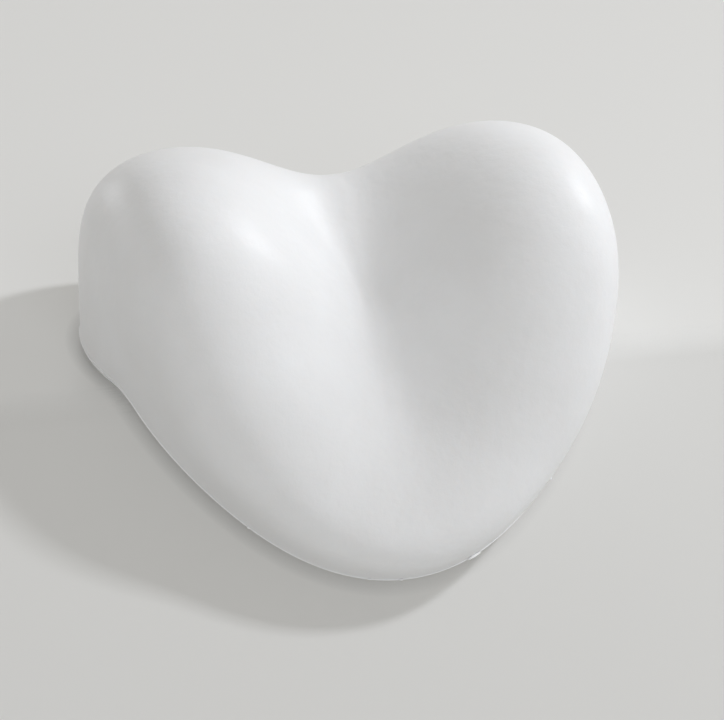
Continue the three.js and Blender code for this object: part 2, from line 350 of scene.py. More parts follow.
@dataclass(frozen=True)
class HeartForm:
    """Form of the pillow: a heart laid out along the bent underside, with two ridges and a neck channel."""

    heart_radius: float = 0.12122
    outline_wave_shares: tuple[float, ...] = (0.0789, -0.0516, 0.0945, -0.018, 0.0135)
    cleft_depth_share: float = 0.1002
    cleft_half_angle: float = 0.42
    centre_behind_bend: float = 0.01622
    bend_angle: float = math.radians(46.5)
    parting_bend_radius: float = 0.028
    parting_height: float = 0.0035
    lean_start_behind_bend: float = 0.063
    lean_end_past_bend: float = 0.074
    ridge_height: float = 0.105
    ridge_height_shares: tuple[float, ...] = (0.747, 0.975, 1.039, 0.837, 0.45)
    channel_height_shares: tuple[float, ...] = (0.165, 0.888, 0.35, 0.332, 0.389)
    channel_half_widths: tuple[float, ...] = (0.0571, 0.0549, 0.0601, 0.0756, 0.0613)
    channel_exponents: tuple[float, ...] = (1.499, 1.878, 1.362, 1.323, 1.478)
    station_pitch: float = 0.045
    middle_station_behind_bend: float = 0.005
    station_spread_share: float = 0.8
    channel_steepness: float = 1.434
    channel_floor_share: float = 0.0988
    plan_exponent: float = 0.3996
    rise_exponent: float = 0.5687
    flank_bulge_share: float = 0.0345

    @property
    def bend_length(self) -> float:
        """Length of the bend along the parting surface."""
        return self.parting_bend_radius * self.bend_angle

    def seat_lean(self, along: np.ndarray) -> np.ndarray:
        """Return the angle that the underside has turned through at places along it."""
        return np.clip(along / self.parting_bend_radius, 0, self.bend_angle)

    @staticmethod
    def lean_normal(lean: np.ndarray) -> np.ndarray:
        """Return the direction away from the bath for given leans."""
        return np.stack([np.zeros_like(lean), -np.sin(lean), np.cos(lean)], axis=-1)

    def seat_point(self, plan: np.ndarray, height: float) -> np.ndarray:
        """Return points above the bath's surface.

        Args:
            plan: Distances to the side and along the underside, in the last axis.
            height: Height above the surface that the cups' lips touch.

        Returns:
            Points in the frame.
        """
        side, along = plan[..., 0], plan[..., 1]
        lean = self.seat_lean(along)
        past = np.maximum(along - self.bend_length, 0)
        radius = self.parting_bend_radius
        back = -np.minimum(along, 0) - radius * np.sin(lean) - past * math.cos(self.bend_angle)
        drop = radius * (1 - np.cos(lean)) + past * math.sin(self.bend_angle)
        point = np.stack([side, back, self.parting_height - drop], axis=-1)
        return point + self.lean_normal(lean) * (height - self.parting_height)

    def outline_radius(self, angle: np.ndarray) -> np.ndarray:
        """Return the distance from the heart's centre to its outline.

        Args:
            angle: Angles round the heart, counted from its tip.

        Returns:
            The distance at each angle.
        """
        waves = 1 + sum(share * np.cos(i * angle) for i, share in enumerate(self.outline_wave_shares, 1))
        from_cleft = math.pi - np.abs(np.arctan2(np.sin(angle), np.cos(angle)))
        notch = self.cleft_depth_share * np.exp(-((from_cleft / self.cleft_half_angle) ** 2))
        return self.heart_radius * (waves - notch)

    def plan_point(self, angle: np.ndarray, scale: np.ndarray | float) -> np.ndarray:
        """Return plan points on a scaled outline."""
        radius = scale * self.outline_radius(angle)
        return np.stack([radius * np.sin(angle), radius * np.cos(angle) - self.centre_behind_bend], axis=-1)

    def outward(self, angle: np.ndarray) -> np.ndarray:
        """Return the directions in the plan that point square out of the outline.

        Args:
            angle: Angles round the heart, counted from its tip.

        Returns:
            A direction in the plan for each angle.
        """
        tiny_turn = 1e-4
        tangent = self.plan_point(angle + tiny_turn, 1) - self.plan_point(angle - tiny_turn, 1)
        tangent /= np.linalg.norm(tangent, axis=-1, keepdims=True)
        return np.stack([-tangent[..., 1], tangent[..., 0]], axis=-1)

    def edge_point(self, angle: np.ndarray, reach: float, height: float) -> np.ndarray:
        """Return points on the outline, moved outwards by a reach, at a height above the bath."""
        return self.seat_point(self.plan_point(angle, 1) + reach * self.outward(angle), height)

    def between_stations(self, along: np.ndarray, values: Sequence[float]) -> np.ndarray:
        """Return sizes that change smoothly from station to station.

        Args:
            along: Distances along the underside, from the line where its bend starts.
            values: The size at each station.

        Returns:
            The size at each distance.
        """
        middle = (len(values) - 1) / 2
        stations = (np.arange(len(values)) - middle) * self.station_pitch - self.middle_station_behind_bend
        spread = self.station_spread_share * self.station_pitch
        weights = np.exp(-(((along[..., None] - stations) / spread) ** 2))
        return (weights @ np.array(values)) / weights.sum(axis=-1)

    def crown_height(self, plan: np.ndarray) -> np.ndarray:
        """Return the full height of the face over plan points.

        Args:
            plan: Distances to the side and along the underside, in the last axis.

        Returns:
            The height over each point.
        """
        side, along = plan[..., 0], plan[..., 1]
        ridge = self.between_stations(along, self.ridge_height_shares)
        channel = self.between_stations(along, self.channel_height_shares)
        half_width = self.between_stations(along, self.channel_half_widths)
        exponent = self.between_stations(along, self.channel_exponents)
        floor = self.channel_floor_share
        across = np.hypot(side / half_width, floor) - floor
        climb = 1 - np.exp(-self.channel_steepness * across**exponent)
        return self.ridge_height * (channel + (ridge - channel) * climb)

    def face_lean(self, along: np.ndarray) -> np.ndarray:
        """Return the lean of the face, which turns much more gradually than the underside.

        Args:
            along: Distances along the underside, from the line where its bend starts.

        Returns:
            The angle from straight up at each distance.
        """
        length = self.lean_start_behind_bend + self.lean_end_past_bend
        share = np.clip((along + self.lean_start_behind_bend) / length, 0, 1)
        return self.bend_angle * share * share * (3 - 2 * share)

    def face_point(self, section: np.ndarray, angle: np.ndarray) -> np.ndarray:
        """Return points on the face.

        Args:
            section: Angles that run from 0 at the parting line to a quarter turn at the crown.
            angle: Angles round the heart from its tip.

        Returns:
            Points in the frame.
        """
        cosine = np.maximum(np.cos(section), 0)
        scale = cosine**self.plan_exponent + self.flank_bulge_share * np.sin(2 * section)
        rise = np.sin(section) ** self.rise_exponent
        plan = self.plan_point(angle, scale)
        height = (rise * self.crown_height(plan))[..., None]
        upwards = self.lean_normal(self.face_lean(plan[..., 1]))
        return self.seat_point(plan, self.parting_height) + upwards * height

    def section_angles(self, count: int) -> np.ndarray:
        """Return the section angles that cut the rounded section into steps of equal length.

        Args:
            count: Number of steps.

        Returns:
            The angle at the start of each step.
        """
        fine_steps = 40 * count
        angles = np.linspace(0, math.pi / 2, fine_steps)
        across = self.heart_radius * np.maximum(np.cos(angles), 0) ** self.plan_exponent
        up = self.ridge_height * np.sin(angles) ** self.rise_exponent
        lengths = np.concatenate([[0], np.cumsum(np.hypot(np.diff(across), np.diff(up)))])
        return np.interp(lengths[-1] * np.arange(count) / count, lengths, angles)

    def face_rings(self, sections: int, turns: int) -> tuple[np.ndarray, np.ndarray]:
        """Return the points of the face.

        Args:
            sections: Number of rings.
            turns: Number of points in each ring.

        Returns:
            The rings from the parting line up, and the pole over the heart's centre.
        """
        section = self.section_angles(sections)[:, None]
        rings = self.face_point(section, full_turn(turns))
        pole = self.face_point(np.array(math.pi / 2), np.array(0.0))
        return rings, pole

    def inset_rings(self, inset: float, sections: int, turns: int) -> tuple[np.ndarray, np.ndarray]:
        """Return the points of the face, moved inwards square to its surface.

        Args:
            inset: Distance to move them by.
            sections: Number of rings.
            turns: Number of points in each ring.

        Returns:
            The rings from the parting line up, and the pole.
        """
        rings, pole = self.face_rings(sections, turns)
        inner = np.concatenate([rings[1:], np.broadcast_to(pole, (1, turns, 3))])
        outer = np.concatenate([rings[:1], rings[:-1]])
        around = np.roll(rings, -1, axis=1) - np.roll(rings, 1, axis=1)
        normal = np.cross(outer - inner, around)
        normal /= np.linalg.norm(normal, axis=-1, keepdims=True)
        moved = rings - inset * normal
        moved[0] = self.edge_point(full_turn(turns), -inset, self.parting_height)
        crown_lean = self.face_lean(np.array(-self.centre_behind_bend))
        return moved, pole - inset * self.lean_normal(crown_lean)


# Places of the cups


@dataclass(frozen=True)
class CupPlace:
    """Place of one suction cup: where its axis meets the bath, and how it leans."""

    name: str
    point: Vector
    axis: Vector

    @classmethod
    def from_joint(cls, joint: dict[str, Any]) -> CupPlace:
        """Read a cup's place from the joint that it turns on."""
        name = joint["child"].removesuffix("_cup")
        return cls(name, Vector(joint["pos_m"]), Vector(joint["axis"]))

    @property
    def body(self) -> Body:
        """Body that the cup rides on."""
        return Body(f"{self.name}_cup")

    @property
    def matrix(self) -> Matrix:
        """Place and turning of the cup's own axes, with +Z away from the bath."""
        lean = math.atan2(-self.axis.y, self.axis.z)
        return Matrix.Translation(self.point) @ Matrix.Rotation(lean, 4, "X")


# Finishes


class NodeBench:
    """Adds nodes to a tree and joins them."""

    def __init__(self, tree: bpy.types.NodeTree) -> None:
        """Start with an empty tree."""
        self.tree = tree
        tree.nodes.clear()

    def add(self, kind: str, settings: dict[str, Any] | None = None, **values: Any) -> bpy.types.Node:
        """Add a node.

        Args:
            kind: Blender's name for the node's type.
            settings: The node's own settings.
            **values: Socket values or sockets to join, with underscores for the spaces in a name.

        Returns:
            The new node.
        """
        node = self.tree.nodes.new(kind)
        for key, value in (settings or {}).items():
            setattr(node, key, value)
        for key, value in values.items():
            self.put(node.inputs[key.replace("_", " ")], value)
        return node

    def put(self, socket: bpy.types.NodeSocket, value: Any) -> None:
        """Give a socket a value, or join it to another node's output.

        Args:
            socket: Input to set.
            value: A plain value, or an output of another node.
        """
        if isinstance(value, bpy.types.NodeSocket):
            self.tree.links.new(value, socket)
        else:
            socket.default_value = value

    def calculate(self, operation: str, first: Any, second: Any) -> bpy.types.NodeSocket:
        """Work out a number.

        Args:
            operation: Blender's name for the operation.
            first: First number, plain or from another node.
            second: Second number, plain or from another node.

        Returns:
            The result.
        """
        node = self.add("ShaderNodeMath", {"operation": operation})
        self.put(node.inputs[0], first)
        self.put(node.inputs[1], second)
        return node.outputs[0]

    def noise(self, place: bpy.types.NodeSocket, grain: float, **values: Any) -> bpy.types.NodeSocket:
        """Add fine or coarse noise with features of a given size, and return its value."""
        node = self.add("ShaderNodeTexNoise", Vector=place, Scale=1 / grain, **values)
        return node.outputs["Fac"]

    def spread(
        self,
        value: bpy.types.NodeSocket,
        low: Any,
        high: Any,
        from_low: float = 0.3,
        from_high: float = 0.7,
    ) -> bpy.types.NodeSocket:
        """Map a value from one range to another.

        Args:
            value: Value to map.
            low: Lower end of the result.
            high: Upper end of the result.
            from_low: Lower end of the value's own range, at first that of most noise.
            from_high: Upper end of the value's own range.

        Returns:
            The result.
        """
        ends = {"From_Min": from_low, "From_Max": from_high, "To_Min": low, "To_Max": high}
        return self.add("ShaderNodeMapRange", Value=value, **ends).outputs["Result"]

    def tint(self, share: bpy.types.NodeSocket, first: Colour, second: Colour) -> bpy.types.NodeSocket:
        """Mix two colours.

        Args:
            share: Share of the second colour.
            first: First colour.
            second: Second colour.

        Returns:
            The mixed colour.
        """
        node = self.add("ShaderNodeMix", {"data_type": "RGBA"})
        self.put(node.inputs[0], share)
        node.inputs[6].default_value = (*first, 1)
        node.inputs[7].default_value = (*second, 1)
        return node.outputs[2]

    def bump(
        self,
        height: bpy.types.NodeSocket,
        depth: float,
        below: bpy.types.NodeSocket | None = None,
    ) -> bpy.types.NodeSocket:
        """Add relief of a real depth.

        Args:
            height: Pattern of the relief.
            depth: Depth of the pattern's full range.
            below: Other relief to add it to, if there is one.

        Returns:
            The normal.
        """
        node = self.add("ShaderNodeBump", Height=height, Distance=depth)
        if below is not None:
            self.put(node.inputs["Normal"], below)
        return node.outputs["Normal"]

    def glow(self, tone: Colour, strength: float) -> bpy.types.Node:
        """Add an even surround of light."""
        return self.add("ShaderNodeBackground", Color=(*tone, 1), Strength=strength)

    def blend(
        self,
        share: bpy.types.NodeSocket,
        first: bpy.types.Node,
        second: bpy.types.Node,
    ) -> bpy.types.Node:
        """Mix two shaders.

        Args:
            share: Share of the second shader.
            first: Node of the first shader.
            second: Node of the second shader.

        Returns:
            The node that mixes them.
        """
        node = self.add("ShaderNodeMixShader", Fac=share)
        self.put(node.inputs[1], first.outputs[0])
        self.put(node.inputs[2], second.outputs[0])
        return node


@dataclass(frozen=True)
class Finish:
    """Finish that a piece is dressed in."""

    name: str
    slot: Slot

    def material(self) -> bpy.types.Material:
        """Make the finish's material the first time, and find it after that.

        Returns:
            The material.
        """
        known = bpy.data.materials.get(self.name)
        if known is not None:
            return known
        material = bpy.data.materials.new(self.name)
        material.use_nodes = True
        bench = NodeBench(material.node_tree)
        place = bench.add("ShaderNodeTexCoord").outputs["Object"]
        shader = bench.add("ShaderNodeBsdfPrincipled")
        for socket, value in self.lay(bench, place).items():
            bench.put(shader.inputs[socket], value)
        bench.add("ShaderNodeOutputMaterial", Surface=shader.outputs["BSDF"])
        return material

    def lay(self, bench: NodeBench, place: bpy.types.NodeSocket) -> dict[str, Any]:
        """Lay out the patterns of the finish.

        Args:
            bench: Bench of the material's nodes.
            place: Places on the piece.

        Returns:
            A value or a pattern for each socket of the shader that the finish sets.
        """
        raise NotImplementedError

    def dress(self, piece: bpy.types.Object) -> None:
        """Put the finish on a piece.

        Args:
            piece: Piece with a plain mesh.
        """
        piece.data.materials.clear()
        piece.data.materials.append(self.material())


@dataclass(frozen=True)
class MouldedSkinFinish(Finish):
    """Skin of moulded polyurethane: cool white and satin, with a fine grain and a few pin holes."""

    name: str = "moulded_polyurethane_skin"
    slot: Slot = Slot.SKIN
    light_tone: Colour = (0.837, 0.842, 0.848)
    deep_tone: Colour = (0.797, 0.798, 0.799)
    roughness: float = 0.64
    roughness_change: float = 0.06
    refraction: float = 1.5
    gloss_share: float = 0.28
    gloss_roughness: float = 0.28
    soft_light_share: float = 0.12
    soft_light_reach: Colour = (0.0016, 0.0013, 0.0011)
    cloud_size: float = 0.045
    grain_size: float = 0.0011
    grain_depth: float = 0.00007
    orange_peel_size: float = 0.0055
    orange_peel_depth: float = 0.0002
    pin_hole_pitch: float = 0.03
    pin_hole_radius: float = 0.0004
    pin_hole_floor_share: float = 0.4
    pin_hole_depth: float = 0.0003

    def lay(self, bench: NodeBench, place: bpy.types.NodeSocket) -> dict[str, Any]:
        """Lay out the clouds of tone, the grain, the orange peel and the pin holes.

        Args:
            bench: Bench of the material's nodes.
            place: Places on the piece.

        Returns:
            A value or a pattern for each socket of the shader that the finish sets.
        """
        clouds = bench.noise(place, self.cloud_size, Detail=4.0, Roughness=0.55)
        grain = bench.noise(place, self.grain_size, Detail=3.0, Roughness=0.6)
        peel = bench.noise(place, self.orange_peel_size, Detail=1.0)
        tone = bench.tint(bench.spread(clouds, 0, 1), self.deep_tone, self.light_tone)
        low, high = self.roughness - self.roughness_change, self.roughness + self.roughness_change
        satin = bench.spread(grain, low, high)
        relief = bench.bump(peel, self.orange_peel_depth)
        relief = bench.bump(grain, self.grain_depth, relief)
        relief = bench.bump(self.pin_holes(bench, place), self.pin_hole_depth, relief)
        return {
            "Base Color": tone,
            "Roughness": satin,
            "Normal": relief,
            "IOR": self.refraction,
            "Coat Weight": self.gloss_share,
            "Coat Roughness": self.gloss_roughness,
            "Subsurface Weight": self.soft_light_share,
            "Subsurface Radius": self.soft_light_reach,
            "Subsurface Scale": 1.0,
        }

    def pin_holes(self, bench: NodeBench, place: bpy.types.NodeSocket) -> bpy.types.NodeSocket:
        """Lay out rare pin holes, where air was caught in the mould.

        Args:
            bench: Bench of the material's nodes.
            place: Places on the piece.

        Returns:
            A height that drops at each hole.
        """
        cells = bench.add("ShaderNodeTexVoronoi", Vector=place, Scale=1 / self.pin_hole_pitch)
        radius = self.pin_hole_radius / self.pin_hole_pitch
        return bench.spread(cells.outputs["Distance"], 0, 1, self.pin_hole_floor_share * radius, radius)


@dataclass(frozen=True)
class FlashFinish(MouldedSkinFinish):
    """The same polyurethane pressed thin between the mould halves, which leaves it glossier."""

    name: str = "thin_polyurethane_flash"
    light_tone: Colour = (0.92, 0.925, 0.93)
    deep_tone: Colour = (0.88, 0.885, 0.89)
    roughness: float = 0.26
    roughness_change: float = 0.04
    grain_depth: float = 0.00002


@dataclass(frozen=True)
class FoamFinish(Finish):
    """Open-celled soft polyurethane foam inside the skin."""

    name: str = "soft_polyurethane_foam"
    slot: Slot = Slot.FOAM
    light_tone: Colour = (0.86, 0.85, 0.81)
    # The deep tone is painted shade at the floor of each cell.
    deep_tone: Colour = (0.74, 0.73, 0.69)
    roughness: float = 0.95
    cell_size: float = 0.0012
    cell_depth: float = 0.0004
    cell_floor_share: float = 0.1
    cell_wall_share: float = 0.7

    def lay(self, bench: NodeBench, place: bpy.types.NodeSocket) -> dict[str, Any]:
        """Lay out the open cells of the foam, with painted shade that darkens the floor of each cell.

        Args:
            bench: Bench of the material's nodes.
            place: Places on the piece.

        Returns:
            A value or a pattern for each socket of the shader that the finish sets.
        """
        cells = bench.add("ShaderNodeTexVoronoi", Vector=place, Scale=1 / self.cell_size)
        distance = cells.outputs["Distance"]
        height = bench.spread(distance, 0, 1, self.cell_floor_share, self.cell_wall_share)
        return {
            # Painted shade: the colour turns darker towards each cell's floor.
            "Base Color": bench.tint(height, self.deep_tone, self.light_tone),
            "Normal": bench.bump(height, self.cell_depth),
            "Roughness": self.roughness,
        }


@dataclass(frozen=True)
class MouldedPlasticFinish(Finish):
    """Off-white polypropylene of the moulded sockets, with one fine grain."""

    name: str = "moulded_polypropylene"
    slot: Slot = Slot.SOCKET_PLASTIC
    light_tone: Colour = (0.74, 0.75, 0.76)
    deep_tone: Colour = (0.70, 0.71, 0.72)
    least_roughness: float = 0.42
    most_roughness: float = 0.52
    grain_size: float = 0.0008
    grain_depth: float = 0.00002
    grain_detail: float = 3.0

    def lay(self, bench: NodeBench, place: bpy.types.NodeSocket) -> dict[str, Any]:
        """Lay out the grain of the plastic.

        Args:
            bench: Bench of the material's nodes.
            place: Places on the piece.

        Returns:
            A value or a pattern for each socket of the shader that the finish sets.
        """
        grain = bench.noise(place, self.grain_size, Detail=self.grain_detail)
        return {
            "Base Color": bench.tint(grain, self.deep_tone, self.light_tone),
            "Roughness": bench.spread(grain, self.least_roughness, self.most_roughness),
            "Normal": bench.bump(grain, self.grain_depth),
        }


@dataclass(frozen=True)
class ClearVinylFinish(MouldedPlasticFinish):
    """Clear soft vinyl of the suction cups, whose grain is a faint ripple."""

    name: str = "clear_soft_vinyl"
    slot: Slot = Slot.CLEAR_VINYL
    light_tone: Colour = (0.94, 0.965, 0.97)
    deep_tone: Colour = (0.90, 0.94, 0.95)
    least_roughness: float = 0.08
    most_roughness: float = 0.16
    grain_size: float = 0.004
    grain_depth: float = 0.00004
    grain_detail: float = 2.0
    clear_share: float = 0.7
    refraction: float = 1.53

    def lay(self, bench: NodeBench, place: bpy.types.NodeSocket) -> dict[str, Any]:
        """Lay out the ripple of the vinyl, and let light through it.

        Args:
            bench: Bench of the material's nodes.
            place: Places on the piece.

        Returns:
            A value or a pattern for each socket of the shader that the finish sets.
        """
        clear = {"Transmission Weight": self.clear_share, "IOR": self.refraction}
        return {**super().lay(bench, place), **clear}


# Geometry nodes


class PatternTree:
    """Tree of geometry nodes with named inputs, ending in real geometry with its material set."""

    def __init__(self, name: str, sizes: dict[str, float]) -> None:
        """Start a tree.

        Args:
            name: Name of the tree.
            sizes: Value of each named input.
        """
        self.tree = bpy.data.node_groups.new(name, "GeometryNodeTree")
        self.values: dict[str, float] = {}
        for way in ("INPUT", "OUTPUT"):
            self.tree.interface.new_socket("Geometry", in_out=way, socket_type="NodeSocketGeometry")
        for label, value in sizes.items():
            made = self.tree.interface.new_socket(label, in_out="INPUT", socket_type="NodeSocketFloat")
            self.values[made.identifier] = value
        self.bench = NodeBench(self.tree)
        self.given = self.bench.add("NodeGroupInput").outputs

    def named(self, attribute: str) -> bpy.types.NodeSocket:
        """Return the vectors that the mesh keeps under a name."""
        kind = {"data_type": "FLOAT_VECTOR"}
        return self.bench.add("GeometryNodeInputNamedAttribute", kind, Name=attribute).outputs["Attribute"]

    def noise(self, size: str, **values: Any) -> bpy.types.Node:
        """Add noise that the tree's seed sets.

        Args:
            size: Named input that holds the size of the noise's features.
            **values: Further values of the noise.

        Returns:
            The noise.
        """
        fineness = self.bench.calculate("DIVIDE", 1.0, self.given[size])
        values |= {"W": self.given["Seed"], "Scale": fineness}
        return self.bench.add("ShaderNodeTexNoise", {"noise_dimensions": "4D"}, **values)

    def close(self, geometry: bpy.types.NodeSocket, finish: Finish) -> None:
        """End the tree.

        Args:
            geometry: What the tree makes.
            finish: Finish that it gets.
        """
        real = self.bench.add("GeometryNodeRealizeInstances", Geometry=geometry).outputs["Geometry"]
        dressed = self.bench.add("GeometryNodeSetMaterial", Geometry=real, Material=finish.material())
        self.bench.add("NodeGroupOutput", Geometry=dressed.outputs["Geometry"])

    def run_on(self, piece: bpy.types.Object) -> bpy.types.Object:
        """Run the tree on a piece.

        Args:
            piece: Piece whose mesh the tree starts from.

        Returns:
            The same piece, with the plain mesh that the tree makes.
        """
        step = piece.modifiers.new(self.tree.name, "NODES")
        step.node_group = self.tree
        for identifier, value in self.values.items():
            step[identifier] = value
        return as_plain_mesh(piece)


@dataclass(frozen=True)
class FlashLip:
    """Thin, uneven lip of flash that the parting line of the mould leaves all round the pillow."""

    reach: float = 0.0005
    thickness: float = 0.00026
    least_reach_share: float = 0.1
    unevenness_size: float = 0.011
    noise_at_least_reach: float = 0.35
    noise_at_full_reach: float = 0.6
    stations: int = 1400
    section_steps: int = 10
    seed: float = 4.0

    def tree(self, finish: Finish) -> PatternTree:
        """Lay out the tree that sweeps the lip along the parting line.

        Args:
            finish: Finish of the lip.

        Returns:
            The tree.
        """
        sizes = {
            "Reach": self.reach,
            "Thickness": self.thickness,
            "Least Reach Share": self.least_reach_share,
            "Unevenness Size": self.unevenness_size,
            "Seed": self.seed,
        }
        pattern = PatternTree("flash_lip", sizes)
        bench, given = pattern.bench, pattern.given
        line = bench.add("GeometryNodeMeshToCurve", Mesh=given["Geometry"]).outputs["Curve"]
        outward = pattern.named("outward")
        facing = bench.add("GeometryNodeSetCurveNormal", {"mode": "FREE"}, Curve=line, Normal=outward)
        wave = pattern.noise("Unevenness Size", Detail=4.0, Roughness=0.65).outputs["Fac"]
        ends = self.noise_at_least_reach, self.noise_at_full_reach
        share = bench.spread(wave, given["Least Reach Share"], 1.0, *ends)
        uneven = bench.add("GeometryNodeSetCurveRadius", Curve=facing.outputs["Curve"], Radius=share)
        half = bench.calculate("MULTIPLY", given["Thickness"], 0.5)
        size = bench.add("ShaderNodeCombineXYZ", X=given["Reach"], Y=half, Z=1.0).outputs[0]
        circle = bench.add("GeometryNodeCurvePrimitiveCircle", Resolution=self.section_steps, Radius=1.0)
        section = bench.add("GeometryNodeTransform", Geometry=circle.outputs["Curve"], Scale=size)
        swept = bench.add("GeometryNodeCurveToMesh", Curve=uneven.outputs["Curve"])
        bench.put(swept.inputs["Profile Curve"], section.outputs["Geometry"])
        pattern.close(swept.outputs["Mesh"], finish)
        return pattern

    def build(self, form: HeartForm, finish: Finish) -> bpy.types.Object:
        """Build the lip all round the parting line.

        Args:
            form: Form of the pillow.
            finish: Finish of the lip.

        Returns:
            The lip.
        """
        angle = full_turn(self.stations)
        points = form.edge_point(angle, 0, form.parting_height)
        outward = form.edge_point(angle, self.reach, form.parting_height) - points
        outward /= np.linalg.norm(outward, axis=-1, keepdims=True)
        mesh = bpy.data.meshes.new("flash_lip")
        edges = [(i, (i + 1) % self.stations) for i in range(self.stations)]
        mesh.from_pydata(points.tolist(), edges, [])
        keep_vectors(mesh, "outward", outward)
        lip = linked("flash_lip", mesh)
        return self.tree(finish).run_on(lip)


@dataclass(frozen=True)
class FlashTag:
    """One scrap of flash: its angle from the heart's tip, its length, its reach and its thickness."""

    turn_degrees: float
    length: float
    reach: float
    thickness: float


@dataclass(frozen=True)
class FlashTags:
    """Scraps of flash that stayed on the parting line when the rest was trimmed off."""

    tags: tuple[FlashTag, ...] = (
        FlashTag(40, 0.0024, 0.0024, 0.0022),
        FlashTag(15.2, 0.0078, 0.0017, 0.0014),
        FlashTag(-1, 0.0018, 0.0012, 0.0008),
        FlashTag(-7.5, 0.0016, 0.0012, 0.0008),
        FlashTag(-34.7, 0.0018, 0.0013, 0.0008),
    )
    curl: float = math.radians(20)
    lift_share: float = 0.35
    crumple: float = 0.0008
    crumple_size: float = 0.0013
    noise_middle: float = 0.5
    step_along: float = 0.01
    subdivisions: int = 4
    seed: float = 7.0

    def tree(self, finish: Finish) -> PatternTree:
        """Lay out the tree that sets a crumpled scrap on each point.

        Args:
            finish: Finish of the scraps.

        Returns:
            The tree.
        """
        sizes = {"Crumple": self.crumple, "Crumple Size": self.crumple_size, "Seed": self.seed}
        pattern = PatternTree("flash_tags", sizes)
        bench = pattern.bench
        scrap = bench.add("GeometryNodeMeshIcoSphere", Radius=1.0, Subdivisions=self.subdivisions)
        rotation = bench.add("FunctionNodeEulerToRotation", Euler=pattern.named("turning"))
        placed = bench.add(
            "GeometryNodeInstanceOnPoints",
            Points=pattern.given["Geometry"],
            Instance=scrap.outputs["Mesh"],
            Rotation=rotation.outputs["Rotation"],
            Scale=pattern.named("size"),
        )
        real = bench.add("GeometryNodeRealizeInstances", Geometry=placed.outputs["Instances"])
        wave = pattern.noise("Crumple Size", Detail=2.0).outputs["Color"]
        centred = bench.add("ShaderNodeVectorMath", {"operation": "SUBTRACT"}, Vector=wave)
        centred.inputs[1].default_value = (self.noise_middle,) * 3
        shift = bench.add("ShaderNodeVectorMath", {"operation": "SCALE"}, Vector=centred.outputs[0])
        bench.put(shift.inputs["Scale"], pattern.given["Crumple"])
        crumpled = bench.add("GeometryNodeSetPosition", Geometry=real.outputs["Geometry"])
        bench.put(crumpled.inputs["Offset"], shift.outputs[0])
        pattern.close(crumpled.outputs["Geometry"], finish)
        return pattern

    def root(self, form: HeartForm, tag: FlashTag) -> tuple[Vector, Matrix]:
        """Find where a scrap grows from the parting line.

        Args:
            form: Form of the pillow.
            tag: The scrap.

        Returns:
            Its root, and its axes along the parting line, outwards and up, curled up a little.
        """
        turn = math.radians(tag.turn_degrees)
        steps = ((0, 0, 0), (self.step_along, 0, 0), (0, tag.reach, 0), (0, 0, tag.reach))
        root, *ends = (
            Vector(form.edge_point(np.array(turn + step), reach, form.parting_height + rise))
            for step, reach, rise in steps
        )
        axes = Matrix([(end - root).normalized() for end in ends]).transposed()
        return root, axes @ Matrix.Rotation(self.curl, 3, "X")

    def build(self, form: HeartForm, finish: Finish) -> bpy.types.Object:
        """Build every scrap.

        Args:
            form: Form of the pillow.
            finish: Finish of the scraps.

        Returns:
            The scraps, as one piece.
        """
        points, sizes, turnings = [], [], []
        for tag in self.tags:
            root, axes = self.root(form, tag)
            points.append(tuple(root + axes @ Vector((0, tag.reach / 2, self.lift_share * tag.thickness))))
            sizes.append((tag.length / 2, tag.reach / 2, tag.thickness / 2))
            turnings.append(tuple(axes.to_euler()))
        mesh = bpy.data.meshes.new("flash_tags")
        mesh.from_pydata(points, [], [])
        keep_vectors(mesh, "size", sizes)
        keep_vectors(mesh, "turning", turnings)
        scraps = linked("flash_tags", mesh)
        return self.tree(finish).run_on(scraps)


# Pieces of the pillow


